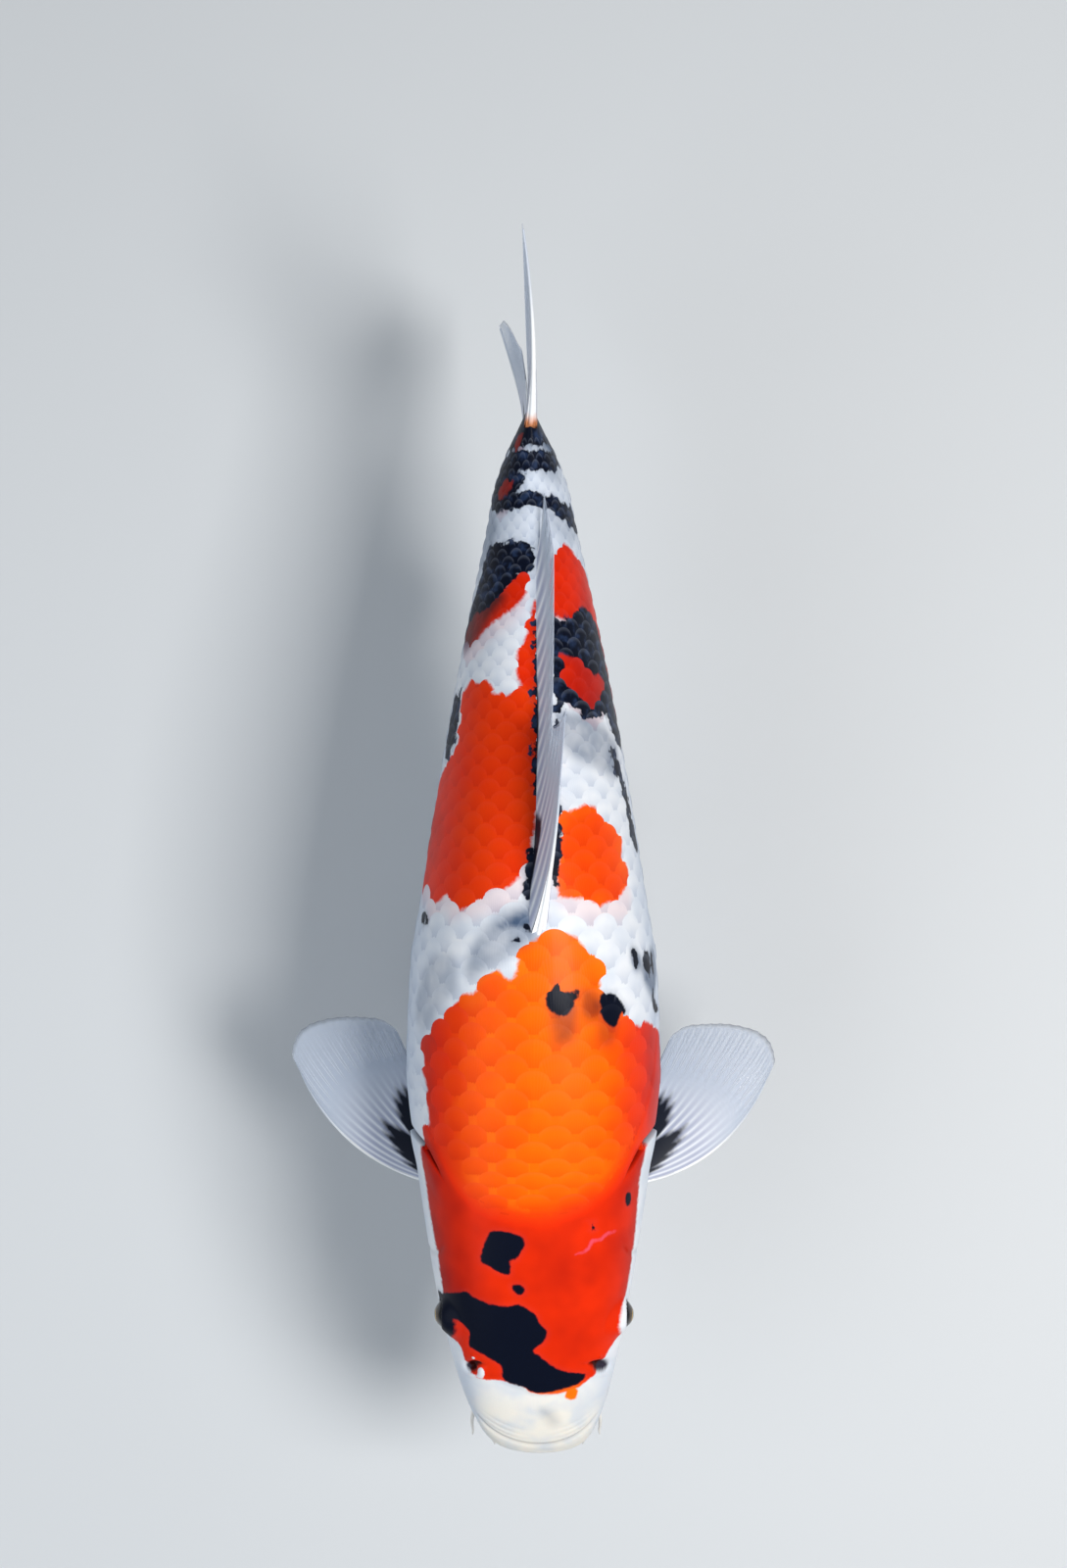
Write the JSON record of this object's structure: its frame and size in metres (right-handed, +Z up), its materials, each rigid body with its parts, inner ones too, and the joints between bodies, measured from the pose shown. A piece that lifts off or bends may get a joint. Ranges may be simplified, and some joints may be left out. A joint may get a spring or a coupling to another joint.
{
  "type": "koi carp",
  "caption": "Life-size koi carp in white, red and black, swimming level with spread pectoral fins, held by two slim rods on a flat display base.",
  "frame": {"origin": "middle of the stand base's underside, at floor level", "axes": "+Z up, -Y the way the fish faces, +X the fish's own left"},
  "size_m": [0.2838, 0.6875, 0.2964],
  "materials": {
    "skin_white": "wet, glossy white skin with blue-black markings",
    "skin_red": "wet, glossy orange-red skin with blue-black markings",
    "fin": "thin, half-clear webs between pale rays, dark at the pectoral roots",
    "eye": "dark, polished",
    "base_paint": "pale grey satin paint",
    "rod_steel": "satin, drawn along the rod"
  },
  "bodies": {
    "root": {"head": "skin_red", "lower_jaw": "skin_white", "upper_lip": "skin_white", "gill_cover_left": "skin_red", "gill_cover_right": "skin_red", "eye_left": "eye", "eye_right": "eye", "barbel_mouth_left": "skin_white", "barbel_mouth_right": "skin_white", "barbel_lip_left": "skin_white", "barbel_lip_right": "skin_white", "trunk_front": "skin_red", "trunk_middle": "skin_white", "trunk_rear": "skin_white", "tail_stalk": "skin_white", "dorsal_fin": "fin", "anal_fin": "fin", "pelvic_fin_left": "fin", "pelvic_fin_right": "fin", "pectoral_fin_left": "fin", "pectoral_fin_right": "fin", "tail_fin_upper": "fin", "tail_fin_lower": "fin", "stand_base": "base_paint", "stand_rod_front": "rod_steel", "stand_rod_rear": "rod_steel"}
  },
  "joints": []
}
